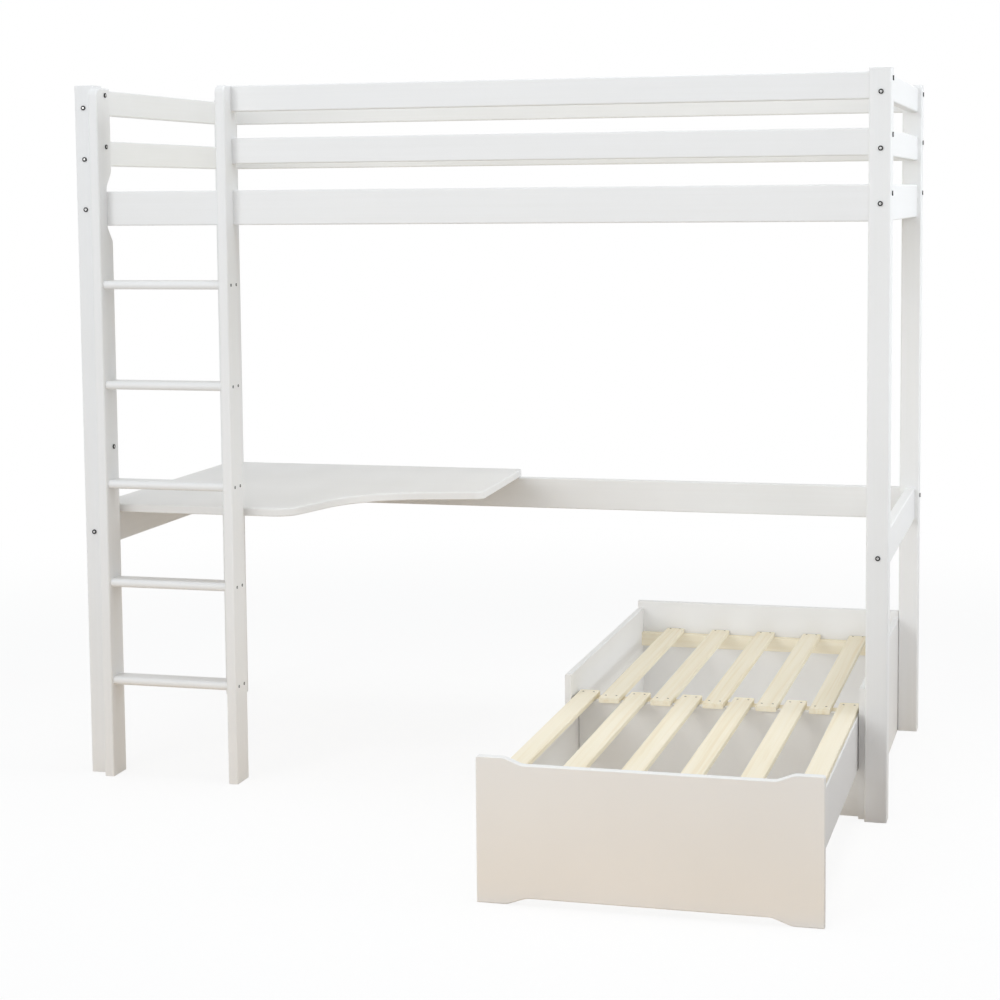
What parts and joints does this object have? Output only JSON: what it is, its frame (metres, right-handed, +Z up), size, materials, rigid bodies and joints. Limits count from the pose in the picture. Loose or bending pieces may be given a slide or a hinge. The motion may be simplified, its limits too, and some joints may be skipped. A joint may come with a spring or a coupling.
{
  "type": "loft bed",
  "caption": "Painted wooden loft bed with an upright ladder, a curved corner desk under the bed and a low slatted day bed whose front half pulls out.",
  "frame": {"origin": "on the floor, in the middle of the object's box with the day bed pulled out as in the picture", "axes": "+X along the bed from the ladder to the day bed, +Y from the front to the wall, +Z up"},
  "size_m": [2.085, 1.7784, 1.8],
  "materials": {
    "white_paint": "white satin paint on pine",
    "bare_pine": "planed, unpainted",
    "bolt": "dark oxide"
  },
  "bodies": {
    "bed": {"bed_slats": "bare_pine", "desk_top": "white_paint", "end_rail_bolts": "bolt", "fixed_slat_1": "bare_pine", "fixed_slat_2": "bare_pine", "fixed_slat_3": "bare_pine", "fixed_slat_4": "bare_pine", "fixed_slat_5": "bare_pine", "front_bed_ledger": "bare_pine", "front_bed_rail": "white_paint", "front_left_post": "white_paint", "front_middle_guard_rail": "white_paint", "front_right_post": "white_paint", "front_top_guard_rail": "white_paint", "ladder_bolts": "bolt", "ladder_tread_1": "white_paint", "ladder_tread_2": "white_paint", "ladder_tread_3": "white_paint", "ladder_tread_4": "white_paint", "ladder_tread_5": "white_paint", "left_end_bed_rail": "white_paint", "left_end_lower_rail": "white_paint", "left_end_middle_rail": "white_paint", "left_end_top_rail": "white_paint", "left_ladder_stringer": "white_paint", "long_rail_bolts": "bolt", "module_apron": "white_paint", "module_back_board": "white_paint", "module_left_side": "white_paint", "module_rear_ledger": "bare_pine", "module_right_side": "white_paint", "rear_bed_ledger": "bare_pine", "rear_bed_rail": "white_paint", "rear_left_post": "white_paint", "rear_lower_rail": "white_paint", "rear_middle_guard_rail": "white_paint", "rear_right_post": "white_paint", "rear_top_guard_rail": "white_paint", "right_end_bed_rail": "white_paint", "right_end_lower_rail": "white_paint", "right_end_middle_rail": "white_paint", "right_end_top_rail": "white_paint", "right_ladder_stringer": "white_paint"},
    "pull_out": {"pull_out_crossbar": "bare_pine", "pull_out_front": "white_paint", "pull_out_front_ledger": "bare_pine", "pull_out_left_rail": "white_paint", "pull_out_right_rail": "white_paint", "pull_out_slat_1": "bare_pine", "pull_out_slat_2": "bare_pine", "pull_out_slat_3": "bare_pine", "pull_out_slat_4": "bare_pine", "pull_out_slat_5": "bare_pine", "pull_out_slat_6": "bare_pine"}
  },
  "joints": [
    {"name": "pull_out_slide", "type": "slide", "parent": "bed", "child": "pull_out", "axis": [0, 1, 0], "range_m": [0, 0.798]}
  ]
}
